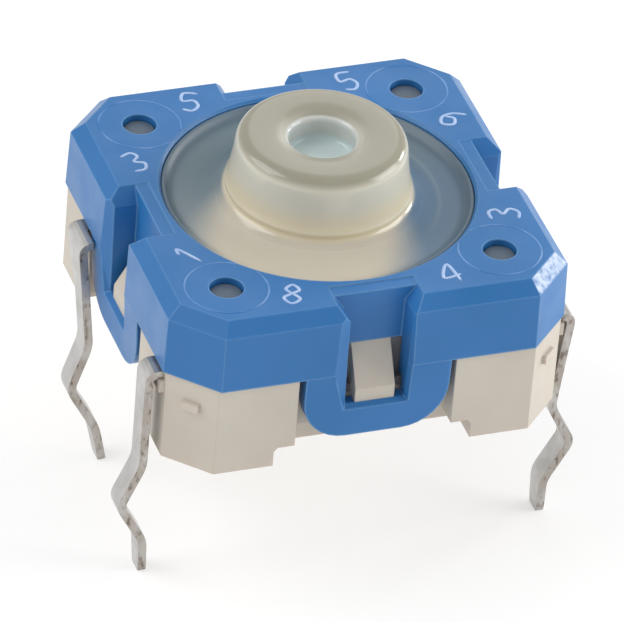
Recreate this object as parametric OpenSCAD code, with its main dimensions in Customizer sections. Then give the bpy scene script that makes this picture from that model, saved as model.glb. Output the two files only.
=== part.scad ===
// Sealed short-travel pushbutton switch: a square clip-fit cover over a moulded
// base, a silicone cap that seals the round opening, a snap disc under a rigid
// pusher, and two contact stampings whose four legs are kinked to grip a board.
// Millimetres. The origin is the centre of the face that sits on the board,
// +Z points out of the button and the legs leave along -X and +X.

/* [Cover] */
// How far the cover's side walls stand outside the base's sides
cover_overhang = 0.05; // [0.02:0.01:0.2]
// Extra half width of the side walls at their lower edge
cover_flare = 0.05; // [0:0.01:0.1]
// Length of each 45 degree corner cut, measured along one side
cover_corner = 1.31; // [0.8:0.01:2]
// Size of the bevel round the top edge
cover_bevel = 0.39; // [0.2:0.01:0.5]
// Height of the flat top face
cover_top = 5.2; // [4.8:0.05:6]
// Height of the lower edge of the side walls
cover_edge = 2.98; // [2.8:0.02:3.2]
// Width of the cover's land that clamps the cap flange
clamp_land = 0.42; // [0.3:0.02:0.6]
// Width of the small bevel round the opening
opening_lip = 0.08; // [0.04:0.01:0.15]
// Radius of the four corner holes
corner_hole_radius = 0.5; // [0.3:0.05:0.6]
// Distance of each corner hole's axis from both side walls
corner_hole_inset = 1.91; // [1.8:0.01:2.1]

/* [Clip windows] */
// Half width of each hanging tongue
tongue_half = 2.2; // [1.8:0.05:2.4]
// Height of the tongue's lower edge
tongue_bottom = 0.7; // [0.5:0.05:1.2]
// Half width of the straight part of the tongue's lower edge
tongue_foot_half = 0.85; // [0.6:0.05:1.2]
// Height over which the tongue's lower corners curve
tongue_curve = 1.45; // [1:0.05:1.6]
// Thickness of the tongue where it leaves the cover
tongue_thickness = 0.54; // [0.4:0.02:0.6]
// How far the tongue's outer face leans in at its lower edge
tongue_lean = 0.11; // [0:0.01:0.2]
// Step from the side wall to the outer face of the tongue
tongue_step = 0.02; // [0.01:0.01:0.05]
// Half width of the window through the tongue
window_half = 0.9; // [0.7:0.02:1.1]
// Height of the window's lower edge
window_bottom = 1.76; // [1.5:0.02:2]
// Half width of the sloping border at the foot of the window
border_foot_half = 1.02; // [0.95:0.01:1.2]
// Height of the border's lower edge
border_bottom = 1.6; // [1.4:0.02:1.7]
// Half width of the border's broad side from the cover's edge upwards
border_half = 1.36; // [1.2:0.02:1.6]
// Half width of the border's slim side
border_slim_half = 1.02; // [0.98:0.01:1.2]
// Depth of the sloping border
border_depth = 0.25; // [0.15:0.05:0.35]
// Half width of the slot where it starts to widen towards the top
throat_half = 0.95; // [0.9:0.01:1.15]
// Height at which it starts to widen
throat_height = 4.72; // [4.5:0.02:4.9]
// Half width of the slot where it meets the top face
recess_half = 1.3; // [1.1:0.02:1.5]
// Half width over the two guides inside each tongue
guide_half = 1.45; // [1.2:0.05:1.7]
// Height of the guides' lower ends
guide_bottom = 2.2; // [2:0.02:2.6]
// Width of the web between the round opening and the slot
web_width = 0.64; // [0.5:0.02:0.7]
// Distance of the shallow step on the web from the round opening
web_step = 0.2; // [0.12:0.02:0.3]
// Depth of that step
web_drop = 0.04; // [0.02:0.01:0.1]

/* [Base] */
// Width across the flats
base_width = 12; // [10.5:0.05:13.5]
// Length of each 45 degree corner cut, measured along one side
base_corner = 1.2; // [0.8:0.05:2]
// Half width of the pocket for each tongue
pocket_half = 2.38; // [2.25:0.01:2.6]
// Gap between the pocket floor and the tongue
tongue_clearance = 0.09; // [0.07:0.01:0.15]
// Gap between the rim and the cover's inner walls
rim_gap = 0.1; // [0.05:0.01:0.15]
// Thickness of the rim round the cap flange
rim_wall = 0.39; // [0.3:0.01:0.5]
// Thickness left of the rim behind the guides
rim_skin = 0.12; // [0.08:0.01:0.16]
// Gap round the guides
guide_gap = 0.05; // [0.03:0.01:0.08]
// Half width of the raised underside beside each pocket
relief_half = 3.0; // [2.6:0.05:3.4]
// How far the raised underside reaches in behind the pocket
relief_depth = 0.55; // [0.3:0.05:0.9]
// Height of the underside behind the tongue
relief_inner_height = 0.95; // [0.6:0.05:1.2]
// Height of the underside beside the pocket
relief_outer_height = 0.62; // [0.4:0.02:0.9]
// Half width of each clip wedge
wedge_half = 0.6; // [0.4:0.02:0.65]
// How far the wedge's nose stays inside the base's side
wedge_inset = 0.15; // [0:0.01:0.25]
// Height at which the wedge's slope meets its nose
wedge_crease = 2.2; // [2:0.02:2.6]
// Radial gap round the posts in the corner holes
post_clearance = 0.04; // [0.02:0.01:0.1]
// How far the posts end below the cover's top face
post_drop = 0.2; // [0.05:0.01:0.5]
// Height of the seat for the cap flange
seat_height = 3.0; // [2.9:0.02:3.2]
// Depth of the cavity floor, where the contacts lie, below that seat
floor_drop = 0.38; // [0.32:0.02:0.5]
// Width of the ledge that carries the cap flange
seat_land = 0.9; // [0.7:0.02:1.2]
// Width of the small nub on each corner face
nub_width = 0.55; // [0.3:0.05:0.8]
// How far the nubs stand out
nub_height = 0.12; // [0.05:0.01:0.2]
// Height of the nub centres above the board
nub_level = 2.12; // [1.8:0.02:2.4]

/* [Sealing cap] */
// Height of the button's top face
button_top = 7.08; // [6.8:0.02:7.4]
// Radius of the flat part of the top face
button_flat_radius = 2.14; // [1.9:0.02:2.3]
// Radius of the button below its rounded edge
button_radius = 2.49; // [2.3:0.01:2.7]
// Radius of the ridge round the foot of the button
ridge_radius = 2.72; // [2.6:0.01:2.9]
// Rise of the ridge above the membrane
ridge_rise = 0.64; // [0.4:0.02:0.8]
// Radius of the hole in the middle of the button
socket_radius = 0.97; // [0.8:0.01:1.1]
// Depth of the straight wall of that hole
socket_depth = 0.7; // [0.5:0.05:1]
// Radius at which the dish round the hole starts
dish_radius = 1.5; // [1.3:0.02:1.7]
// Depth of the dish round the hole
dish_depth = 0.16; // [0.05:0.01:0.25]
// Height of the flat membrane round the button
membrane_height = 4.86; // [4.6:0.02:5]
// Thickness of the membrane
membrane_thickness = 0.3; // [0.2:0.02:0.5]
// Thickness of the flange
flange_thickness = 0.4; // [0.3:0.02:0.6]
// Width of the brim that rises from the membrane to the opening
brim_width = 0.46; // [0.3:0.02:0.6]
// Height of that brim above the membrane
brim_rise = 0.24; // [0.1:0.02:0.26]
// Gap between that wall and the cover's opening
cap_gap = 0.06; // [0.04:0.02:0.2]

/* [Pusher and snap disc] */
// Radius of the pusher's stem inside the button
stem_radius = 1.65; // [1.4:0.05:1.8]
// Height of the top of the stem
stem_top = 5.55; // [5.2:0.05:5.7]
// Radius of the pusher's collar
collar_radius = 2.1; // [1.9:0.05:2.3]
// Thickness of the collar
collar_thickness = 0.35; // [0.2:0.05:0.5]
// Radius of the tip that works the snap disc
tip_radius = 0.8; // [0.5:0.05:1]
// Radius of the snap disc
disc_radius = 2.9; // [2.6:0.05:3]
// Rise of the snap disc
disc_rise = 0.4; // [0.3:0.02:0.5]
// Thickness of the snap disc
disc_thickness = 0.08; // [0.05:0.01:0.12]

/* [Contacts and legs] */
// Thickness of the contact strip
strip = 0.25; // [0.2:0.01:0.35]
// Gap between the base's side and each leg where it bends down
leg_gap = 0.3; // [0.28:0.01:0.4]
// Gap between the contact cavity and the bars beside it
bar_gap = 0.15; // [0.1:0.01:0.3]
// Width of the bars that join the legs
bar_width = 0.65; // [0.4:0.05:0.7]
// Y of the two front legs
front_leg_y = -4.2; // [-4.4:0.02:-4]
// Y of the two back legs
back_leg_y = 2.2; // [2.1:0.02:2.4]
// Y at which the back legs pass through the base's wall
back_root_y = 2.77; // [2.74:0.01:2.9]
// Width of the back legs in the base's wall
back_root_width = 0.54; // [0.4:0.02:0.6]
// Width of each leg where it bends down
leg_shoulder_width = 0.78; // [0.7:0.02:0.9]
// Width of the straight part of each leg
leg_width = 0.72; // [0.6:0.02:0.8]
// Width of each leg's tip
leg_tip_width = 0.5; // [0.3:0.02:0.6]
// Height at which each kink starts
kink_start = -0.55; // [-0.8:0.05:-0.3]
// Height of the kinks' peaks
kink_peak = -1.92; // [-2.2:0.02:-1.6]
// Height at which each kink ends
kink_end = -3.25; // [-3.5:0.05:-2.8]
// Height of the tips
leg_bottom = -4.42; // [-4.6:0.02:-4]
// Offset of kink start, peak, kink end and tip, usual leg
plain_bends = [0, 0.6, -0.15, -0.22]; // [-1:0.01:1]
// The same for the right front leg, which is pressed against the base
right_front_bends = [-0.3, 0.42, -0.32, -0.3]; // [-1:0.01:1]
// The same for the left back leg, which leans inwards
left_back_bends = [-0.2, 0.36, -0.42, -0.66]; // [-1:0.01:1]
// Forward lean of the left back leg, degrees
left_back_lean = 8.5; // [0:0.1:10]
// Length taken by each rounded bend
bend_length = 0.26; // [0.15:0.01:0.4]
// How far the bosses under the leg roots stand out
boss_out = 0.16; // [0.05:0.01:0.2]
// Inner and outer radius of the ring that carries the snap disc
ring_radii = [2.5, 3.1]; // [2:0.05:4]
// Radius of the centre contact's raised pad
pad_radius = 0.6; // [0.4:0.05:0.8]
// Rise of that pad above the cavity floor
pad_rise = 0.3; // [0.26:0.01:0.4]

/* [Quality] */
// Segments in a full circle
facets = 96; // [48:8:144]

/* [Hidden] */
$fn = facets;
running = 0.05;
over = 0.5;
base_half = base_width / 2;
cover_half = base_half + cover_overhang;
edge_half = cover_half + cover_flare;
cover_clamp = seat_height + flange_thickness;
bevel_base = cover_top - cover_bevel;
top_corner = cover_corner - cover_bevel * (2 - sqrt(2));
edge_corner = cover_corner + cover_flare * (2 - sqrt(2));
tongue_face = edge_half - tongue_step;
inner_half = tongue_face - tongue_thickness;
rim_half = inner_half - rim_gap;
rim_bore = rim_half - rim_wall;
flange_radius = rim_bore - running;
opening_radius = flange_radius - clamp_land;
recess_back = opening_radius + web_width;
cap_wall_radius = opening_radius - cap_gap;
membrane_radius = cap_wall_radius - brim_width;
cavity_radius = flange_radius - seat_land;
pocket_floor = inner_half - tongue_clearance;
relief_start = pocket_floor - relief_depth;
wedge_root = rim_bore + rim_skin;
wedge_nose = base_half - wedge_inset;
corner_hole_offset = cover_half - corner_hole_inset;
floor_height = seat_height - floor_drop;
ridge_height = membrane_height + ridge_rise;
socket_mouth = button_top - dish_depth;
socket_floor = socket_mouth - socket_depth;
tip_height = floor_height + strip + disc_rise + disc_thickness + 0.02;
collar_height = tip_height + 0.25;
bar_inner = cavity_radius + bar_gap;
bar_outer = bar_inner + bar_width;
arm_half = 0.5;
strip_mid = floor_height + strip / 2;
leg_reach = base_half + leg_gap + strip / 2;
bend_steps = 5;
// Each leg: side, y, y and width of its root, bend offsets, forward lean
legs = [
    [-1, front_leg_y, front_leg_y, leg_shoulder_width, plain_bends, 0],
    [-1, back_leg_y, back_root_y, back_root_width, left_back_bends, left_back_lean],
    [1, front_leg_y, front_leg_y, leg_shoulder_width, right_front_bends, 0],
    [1, back_leg_y, back_root_y, back_root_width, plain_bends, 0]
];

function unit(v) = v / norm(v);

// Corners of a square of the given half width with its corners cut at 45 degrees
function octagon(half, cut, z) = [
    [half, -half + cut, z], [half, half - cut, z],
    [half - cut, half, z], [-half + cut, half, z],
    [-half, half - cut, z], [-half, -half + cut, z],
    [-half + cut, -half, z], [half - cut, -half, z]
];

// A path with each inner corner replaced by a smooth bend
function bent(path, size) = [
    for (i = [0 : len(path) - 1])
        each (i == 0 || i == len(path) - 1) ? [path[i]] :
            let (a = path[i] + size * unit(path[i - 1] - path[i]),
                 b = path[i] + size * unit(path[i + 1] - path[i]))
            [for (k = [0 : bend_steps]) let (s = k / bend_steps)
                (1 - s) * (1 - s) * a + 2 * s * (1 - s) * path[i] + s * s * b]
];

// The path moved sideways by the given distance
function beside(path, distance) = [
    for (i = [0 : len(path) - 1])
        let (t = unit(path[min(i + 1, len(path) - 1)] - path[max(i - 1, 0)]))
        path[i] + distance * [-t.y, t.x]
];

function reversed(list) = [for (i = [len(list) - 1 : -1 : 0]) list[i]];

// Straight-sided solid between two cut-cornered squares
module octagon_loft(half_low, cut_low, z_low, half_high, cut_high, z_high) {
    polyhedron(
        points = concat(octagon(half_low, cut_low, z_low),
                        octagon(half_high, cut_high, z_high)),
        faces = concat([[0, 1, 2, 3, 4, 5, 6, 7]], [[15, 14, 13, 12, 11, 10, 9, 8]],
                       [for (i = [0 : 7]) [i, i + 8, (i + 1) % 8 + 8, (i + 1) % 8]]));
}

// One feature repeated on the four sides, modelled on the front (-Y) side
module each_side() {
    for (angle = [0 : 90 : 270]) rotate([0, 0, angle]) children();
}

// Outline given in front view (x, z), thick from y = -far to y = -near
module front_plate(outline, near, far) {
    translate([0, -near, 0]) rotate([90, 0, 0])
        linear_extrude(far - near) polygon(outline);
}

// Outline given in side view (distance from centre, z) of the front side
module side_plate(outline, half) {
    rotate([90, 0, 0]) rotate([0, -90, 0])
        linear_extrude(2 * half, center = true) polygon(outline);
}

function mirrored(points) = concat(points, reversed([for (q = points) [-q.x, q.y]]));

// ---- cover -------------------------------------------------------------

module tongue() {
    curve = [for (turn = [0 : 11.25 : 90])
                 [tongue_foot_half + (tongue_half - tongue_foot_half) * sin(turn),
                  tongue_bottom + tongue_curve * (1 - cos(turn))]];
    intersection() {
        front_plate(mirrored(concat(curve, [[tongue_half, cover_clamp]])),
                    inner_half - over, edge_half + over);
        side_plate([[tongue_face, cover_edge + 0.06],
                    [tongue_face - tongue_lean, tongue_bottom - over / 10],
                    [inner_half - tongue_lean / 4, tongue_bottom - over / 10],
                    [inner_half, cover_edge], [inner_half, cover_clamp],
                    [tongue_face, cover_clamp]], tongue_half + over);
    }
}

// Guides inside a tongue, before the window parts them
module guides() {
    front_plate(mirrored([[guide_half, guide_bottom], [guide_half, cover_clamp]]),
                wedge_root + guide_gap, inner_half);
}

// Slot for the wedge, open to the top, and the sloping border round its front
module window() {
    slot = mirrored([[window_half, window_bottom], [throat_half, throat_height],
                     [recess_half, cover_top], [recess_half, cover_top + over]]);
    front_plate(slot, wedge_root, edge_half + over);
    intersection() {
        front_plate(slot, opening_radius, edge_half + over);
        side_plate([[edge_half + over, cover_clamp], [recess_back, cover_clamp],
                    [recess_back, cover_top - web_drop],
                    [opening_radius + web_step, cover_top - web_drop],
                    [opening_radius + web_step, cover_top + over],
                    [edge_half + over, cover_top + over]], recess_half + over);
    }
    hull() {
        front_plate([[border_foot_half, border_bottom], [border_slim_half, cover_edge],
                     [border_slim_half, cover_top + over], [-border_half, cover_top + over],
                     [-border_half, cover_edge], [-border_foot_half, border_bottom]],
                    edge_half, edge_half + over);
        front_plate(mirrored([[window_half, window_bottom],
                              [window_half, cover_top + over]]),
                    edge_half - border_depth, edge_half);
    }
}

module cover() {
    color([0.13, 0.40, 0.75]) difference() {
        union() {
            difference() {
                union() {
                    octagon_loft(edge_half, edge_corner, cover_edge,
                                 cover_half, cover_corner, bevel_base);
                    octagon_loft(cover_half, cover_corner, bevel_base,
                                 cover_half - cover_bevel, top_corner, cover_top);
                    each_side() tongue();
                }
                octagon_loft(inner_half, edge_corner, cover_edge - over,
                             inner_half, edge_corner, cover_clamp);
            }
            each_side() guides();
        }
        translate([0, 0, cover_edge])
            cylinder(r = opening_radius, h = cover_top);
        translate([0, 0, cover_top - opening_lip])
            cylinder(r1 = opening_radius, r2 = opening_radius + 2 * opening_lip,
                     h = 2 * opening_lip);
        for (x = [-1, 1], y = [-1, 1])
            translate([x * corner_hole_offset, y * corner_hole_offset, cover_edge])
                cylinder(r = corner_hole_radius, h = cover_top, $fn = 48);
        each_side() window();
    }
}

// ---- base --------------------------------------------------------------

// Space for the guides and for the wedge's slope, cut through the rim
module guide_slot() {
    front_plate(mirrored([[guide_half + guide_gap, guide_bottom - guide_gap],
                          [guide_half + guide_gap, cover_clamp + over]]),
                wedge_root, base_half + over);
}

// Clip wedge: slopes out from the rim to its nose, with a flat catch below
module wedge() {
    side_plate([[pocket_floor - over, window_bottom], [wedge_nose, window_bottom],
                [wedge_nose, wedge_crease], [wedge_root, cover_clamp],
                [wedge_root - running, cover_clamp], [wedge_root - running, seat_height],
                [pocket_floor - over, seat_height - over]], wedge_half);
}

// Space for a tongue, open upwards, downwards and outwards
module pocket() {
    front_plate([[-pocket_half, -over], [pocket_half, -over],
                 [pocket_half, cover_edge + over], [-pocket_half, cover_edge + over]],
                pocket_floor, base_half + over);
    for (part = [[pocket_half, relief_inner_height], [relief_half, relief_outer_height]])
        front_plate([[-part.x, -over], [part.x, -over], [part.x, part.y - 0.12],
                     [part.x - 0.12, part.y], [-part.x + 0.12, part.y],
                     [-part.x, part.y - 0.12]], relief_start, base_half + over);
}

// Horizontal part of one leg, from the inner bar to the bend
module leg_root(leg) {
    far = leg_reach - bend_length;
    translate([leg[0] > 0 ? bar_inner : -far, leg[2] - leg[3] / 2, floor_height])
        cube([far - bar_inner, leg[3], strip]);
}

module base() {
    color([0.86, 0.83, 0.76]) difference() {
        union() {
            difference() {
                union() {
                    octagon_loft(base_half, base_corner, 0, base_half, base_corner, cover_edge);
                    octagon_loft(rim_half, base_corner, 0, rim_half, base_corner, cover_clamp);
                }
                each_side() pocket();
                each_side() guide_slot();
                translate([0, 0, seat_height])
                    cylinder(r = rim_bore, h = flange_thickness + over);
            }
            each_side() wedge();
            for (x = [-1, 1], y = [-1, 1])
                translate([x * corner_hole_offset, y * corner_hole_offset, seat_height - over])
                    cylinder(r = corner_hole_radius - post_clearance,
                             h = cover_top - post_drop - seat_height + over, $fn = 48);
            for (angle = [45 : 90 : 315])
                rotate([0, 0, angle])
                    translate([(2 * base_half - base_corner) / sqrt(2) - over, 0, nub_level])
                        rotate([0, 90, 0]) linear_extrude(over + nub_height)
                            square([nub_width / 2, nub_width], center = true);
            for (leg = legs)
                translate([leg[0] * (base_half + boss_out - over), leg[2], floor_height - 0.21])
                    cube([2 * over, leg[3] + 0.22, 0.4], center = true);
        }
        translate([0, 0, floor_height]) cylinder(r = cavity_radius, h = floor_drop + over);
        for (leg = legs) leg_root(leg);
        for (side = [-1, 1]) side_bar(side);
        centre_arm();
        rim_arm();
    }
}

// ---- sealing cap -------------------------------------------------------

module sealing_cap() {
    wall_in = cavity_radius;
    under = membrane_height - membrane_thickness;
    socket_gap = 0.03;
    color([0.82, 0.80, 0.72, 0.85]) rotate_extrude() polygon([
        [0, socket_floor], [socket_radius, socket_floor],
        [socket_radius, socket_mouth], [socket_radius + 0.12, socket_mouth + 0.06],
        [dish_radius, button_top - 0.02], [button_flat_radius, button_top],
        [button_radius - 0.18, button_top - 0.05],
        [button_radius - 0.07, button_top - 0.15],
        [button_radius - 0.01, button_top - 0.32],
        [button_radius, button_top - 0.46],
        [ridge_radius - 0.10, ridge_height + 0.26],
        [ridge_radius - 0.04, ridge_height + 0.10], [ridge_radius, ridge_height],
        [ridge_radius - 0.02, ridge_height - 0.07],
        [ridge_radius - 0.07, ridge_height - 0.13],
        [ridge_radius - 0.02, membrane_height + 0.6 * ridge_rise],
        [ridge_radius + 0.10, membrane_height + 0.3 * ridge_rise],
        [ridge_radius + 0.3, membrane_height + 0.08],
        [ridge_radius + 0.5, membrane_height + 0.02],
        [membrane_radius, membrane_height],
        [cap_wall_radius - 0.6 * brim_width, membrane_height + 0.2 * brim_rise],
        [cap_wall_radius - 0.3 * brim_width, membrane_height + 0.65 * brim_rise],
        [cap_wall_radius - 0.06, membrane_height + brim_rise],
        [cap_wall_radius - 0.02, membrane_height + brim_rise],
        [cap_wall_radius, membrane_height + brim_rise - 0.03],
        [cap_wall_radius, cover_clamp],
        [flange_radius, cover_clamp], [flange_radius, seat_height],
        [wall_in, seat_height], [wall_in, under - 0.5],
        [wall_in - 0.06, under - 0.25], [wall_in - 0.25, under],
        [ridge_radius + 0.25, under],
        [stem_radius + 0.5, under + 0.15],
        [stem_radius + socket_gap, under + 0.1],
        [stem_radius + socket_gap, stem_top + socket_gap], [0, stem_top + socket_gap]
    ]);
}

// ---- pusher and snap disc ----------------------------------------------

module pusher() {
    color([0.88, 0.87, 0.84]) rotate_extrude() polygon([
        [0, tip_height], [tip_radius, tip_height], [tip_radius, collar_height],
        [collar_radius, collar_height], [collar_radius, collar_height + collar_thickness],
        [stem_radius, collar_height + collar_thickness], [stem_radius, stem_top - 0.15],
        [stem_radius - 0.15, stem_top], [0, stem_top]
    ]);
}

module snap_disc() {
    low = floor_height + strip;
    radius = (disc_radius * disc_radius + disc_rise * disc_rise) / (2 * disc_rise);
    span = asin(disc_radius / radius);
    arc = [for (k = [0 : 8]) let (a = span * k / 8)
        [radius * sin(a), low + disc_rise - radius + radius * cos(a)]];
    color([0.72, 0.72, 0.70]) rotate_extrude() polygon(
        concat(arc, reversed([for (q = arc) [q.x, q.y + disc_thickness]])));
}

// ---- contacts ----------------------------------------------------------

// Bar along Y that joins the two legs of one side
module side_bar(side) {
    front = front_leg_y - leg_shoulder_width / 2;
    translate([side > 0 ? bar_inner : -bar_outer, front, floor_height])
        cube([bar_width, back_root_y + back_root_width / 2 - front, strip]);
}

// Arm that runs under the cavity floor to the middle, on the left side
module centre_arm() {
    translate([-bar_outer, -arm_half, floor_height - strip])
        cube([bar_outer, 2 * arm_half, strip]);
    translate([0, 0, floor_height - strip]) cylinder(r = pad_radius + 0.25, h = strip);
}

// Arm from the ring to the bar, on the right side
module rim_arm() {
    translate([ring_radii[0] + 0.2, -arm_half, floor_height])
        cube([bar_outer - ring_radii[0] - 0.2, 2 * arm_half, strip]);
}

// One leg: a bent strip cut to its front view
module leg(leg) {
    bends = leg[4];
    shift = function (z) leg[1] - max(0, strip_mid - z) * tan(leg[5]);
    levels = [kink_start, kink_peak, kink_end, leg_bottom];
    path = bent(concat([[leg_reach, strip_mid]],
                       [for (i = [0 : 3]) [leg_reach + bends[i], levels[i]]]), bend_length);
    route = concat([[leg_reach - bend_length - running, strip_mid],
                    [leg_reach - bend_length, strip_mid]],
                   [for (k = [1 : bend_steps]) let (s = k / bend_steps)
                       [leg_reach - bend_length * (1 - s) * (1 - s),
                        strip_mid - bend_length * s * s]],
                   [for (i = [1 : len(path) - 1]) path[i]]);
    shoulder = [leg[1] - leg_shoulder_width / 2, leg[2] + leg[3] / 2];
    widths = [[strip_mid - 1.6, leg_width], [kink_end, leg_width],
              [leg_bottom + 0.16, leg_tip_width + 0.08], [leg_bottom, leg_tip_width]];
    span = leg_shoulder_width + back_root_width;
    mirror([leg[0] < 0 ? 1 : 0, 0, 0]) intersection() {
        translate([0, leg[1] - span, 0]) rotate([90, 0, 0]) mirror([0, 0, 1])
            linear_extrude(2 * span) polygon(concat(beside(route, strip / 2),
                                                    reversed(beside(route, -strip / 2))));
        rotate([90, 0, 90]) translate([0, 0, leg_reach - span]) linear_extrude(2 * span)
            polygon(concat(
                [[shoulder[0], strip_mid + strip], [shoulder[0], strip_mid - strip]],
                [for (q = widths) [shift(q.x) - q.y / 2, q.x]],
                reversed([for (q = widths) [shift(q.x) + q.y / 2, q.x]]),
                [[shoulder[1], strip_mid - strip / 2], [shoulder[1], strip_mid + strip]]));
    }
}

module centre_contact() {
    color([0.78, 0.77, 0.74]) {
        for (leg = legs) if (leg[0] < 0) { leg(leg); leg_root(leg); }
        side_bar(-1);
        centre_arm();
        translate([0, 0, floor_height - strip])
            cylinder(r = pad_radius, h = pad_rise + strip);
    }
}

module rim_contact() {
    color([0.78, 0.77, 0.74]) {
        for (leg = legs) if (leg[0] > 0) { leg(leg); leg_root(leg); }
        side_bar(1);
        translate([0, 0, floor_height]) rotate([0, 0, -150])
            rotate_extrude(angle = 300)
                translate([ring_radii[0], 0]) square([ring_radii[1] - ring_radii[0], strip]);
        rim_arm();
    }
}

cover();
base();
sealing_cap();
pusher();
snap_disc();
centre_contact();
rim_contact();
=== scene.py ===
"""Looks of a square sealed pushbutton switch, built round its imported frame.

Lengths in profiles, strokes and finishes are millimetres unless a docstring
says metres; MM turns them into the metres of the frame. +Z points out of the
button and the origin is the centre of the face that sits on the board.
"""

import logging
import math
from dataclasses import dataclass, field
from enum import Enum
from typing import Union

import bpy
import numpy as np
from mathutils import Matrix, Vector


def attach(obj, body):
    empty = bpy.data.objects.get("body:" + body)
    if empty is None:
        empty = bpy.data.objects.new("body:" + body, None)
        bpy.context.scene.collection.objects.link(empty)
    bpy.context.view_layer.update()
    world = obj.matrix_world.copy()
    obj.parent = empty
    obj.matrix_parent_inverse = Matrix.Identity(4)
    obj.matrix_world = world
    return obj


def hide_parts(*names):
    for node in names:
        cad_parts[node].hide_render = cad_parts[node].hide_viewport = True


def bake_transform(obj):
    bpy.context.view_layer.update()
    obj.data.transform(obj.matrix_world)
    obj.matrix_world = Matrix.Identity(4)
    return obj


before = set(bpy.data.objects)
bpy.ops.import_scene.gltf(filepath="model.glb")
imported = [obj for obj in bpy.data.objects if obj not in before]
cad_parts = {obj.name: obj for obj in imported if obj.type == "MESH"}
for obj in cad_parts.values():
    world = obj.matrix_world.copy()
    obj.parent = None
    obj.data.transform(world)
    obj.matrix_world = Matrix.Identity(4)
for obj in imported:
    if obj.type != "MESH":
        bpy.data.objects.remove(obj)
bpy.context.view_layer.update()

MM = 0.001
LOG = logging.getLogger("pushbutton_switch")

Pair = tuple[float, float]
Triple = tuple[float, float, float]
Span = Pair  # A range of values, from its first end to its second.
Colour = Triple  # Linear RGB.
Profile = tuple[Pair, ...]
Grid = np.ndarray
Socket = bpy.types.NodeSocket
Number = Union[bpy.types.NodeSocket, float]
Paint = Union[bpy.types.NodeSocket, Colour]


class Body(Enum):
    """Rigid bodies of the frame."""

    HOUSING = "housing"
    BUTTON = "button"


class Slot(Enum):
    """Material slots of the record."""

    COVER = "cover_plastic"
    CAP = "cap_silicone"
    SPRING = "spring_steel"


# --------------------------------------------------------------------------
# Surfaces
# --------------------------------------------------------------------------

SAME_POINT = 1e-5  # Points of a curve nearer than this, in mm, count as one.
ROD_SIDES = 12  # Points round a scribed line.


def shell_mesh(name: str, rings: Grid) -> bpy.types.Mesh:
    """Closes a stack of rings with one point at each end.

    Ring u joins ring u + 1 by quads that wrap round; the first and the last
    ring, which are single places, become the tips of two fans.

    Args:
        name: Name of the mesh.
        rings: Points in metres, shape (rings, points round, 3).

    Returns:
        A watertight mesh with smooth faces that point outwards.
    """
    count, around = rings.shape[0] - 2, rings.shape[1]
    points = np.vstack([rings[0, :1], rings[1:-1].reshape(-1, 3), rings[-1, :1]])
    index = 1 + np.arange(count * around).reshape(count, around)
    index = np.hstack([index, index[:, :1]])
    quads = np.stack(
        [index[:-1, :-1], index[1:, :-1], index[1:, 1:], index[:-1, 1:]], axis=-1
    ).reshape(-1, 4)
    tip = np.zeros(around, dtype=int)
    first = np.stack([tip, index[0, :-1], index[0, 1:]], axis=1)
    last = np.stack([index[-1, 1:], index[-1, :-1], tip + len(points) - 1], axis=1)
    faces = quads.tolist() + first.tolist() + last.tolist()
    mesh = bpy.data.meshes.new(name)
    mesh.from_pydata(points.tolist(), [], faces)
    mesh.polygons.foreach_set("use_smooth", np.ones(len(mesh.polygons), dtype=bool))
    mesh.update()
    return mesh


def link_object(name: str, data: bpy.types.ID) -> bpy.types.Object:
    """Makes an object of a mesh, lamp or camera and links it to the scene.

    Args:
        name: Name of the object.
        data: The mesh, lamp or camera.

    Returns:
        The object, at the origin.
    """
    made = bpy.data.objects.new(name, data)
    bpy.context.collection.objects.link(made)
    return made


def report(piece: bpy.types.Object) -> None:
    """Reports a finished piece and its number of faces."""
    LOG.info("%s: %d faces", piece.name, len(piece.data.polygons))


def smooth_profile(points: Profile, per_span: int) -> Grid:
    """Catmull-Rom curve through the given points.

    Each span blends its four nearest points a, b, c and d with the cubic
    0.5 * (2b + (c - a)s + (2a - 5b + 4c - d)s^2 + (3b - a - 3c + d)s^3),
    where s runs from 0 to 1. The end points count twice.

    Args:
        points: Points that the curve runs through, mm.
        per_span: Points worked out between each two of them.

    Returns:
        Points of the curve, shape (n, 2), with no two in the same place.
    """
    p = np.asarray(points, dtype=float)
    padded = np.vstack([p[:1], p, p[-1:]])
    a, b, c, d = padded[:-3], padded[1:-2], padded[2:-1], padded[3:]
    s = np.linspace(0.0, 1.0, per_span, endpoint=False)[:, None, None]
    curve = 0.5 * (
        2 * b + (c - a) * s + (2 * a - 5 * b + 4 * c - d) * s**2
        + (3 * b - a - 3 * c + d) * s**3
    )
    curve = np.vstack([curve.transpose(1, 0, 2).reshape(-1, 2), p[-1:]])
    steps = np.linalg.norm(np.diff(curve, axis=0), axis=1)
    return curve[np.r_[True, steps > SAME_POINT]]


def revolve(profile: Grid, segments: int) -> Grid:
    """Turns a profile round the Z axis: x = r cos t, y = r sin t.

    Args:
        profile: Points (r, z), shape (n, 2).
        segments: Points round the axis.

    Returns:
        Rings of points, shape (n, segments, 3), in the profile's unit.
    """
    t = np.linspace(0.0, 2 * np.pi, segments, endpoint=False)
    r, z = profile[:, 0], profile[:, 1]
    x, y = np.outer(r, np.cos(t)), np.outer(r, np.sin(t))
    return np.stack([x, y, np.outer(z, np.ones_like(t))], axis=-1)


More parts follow.
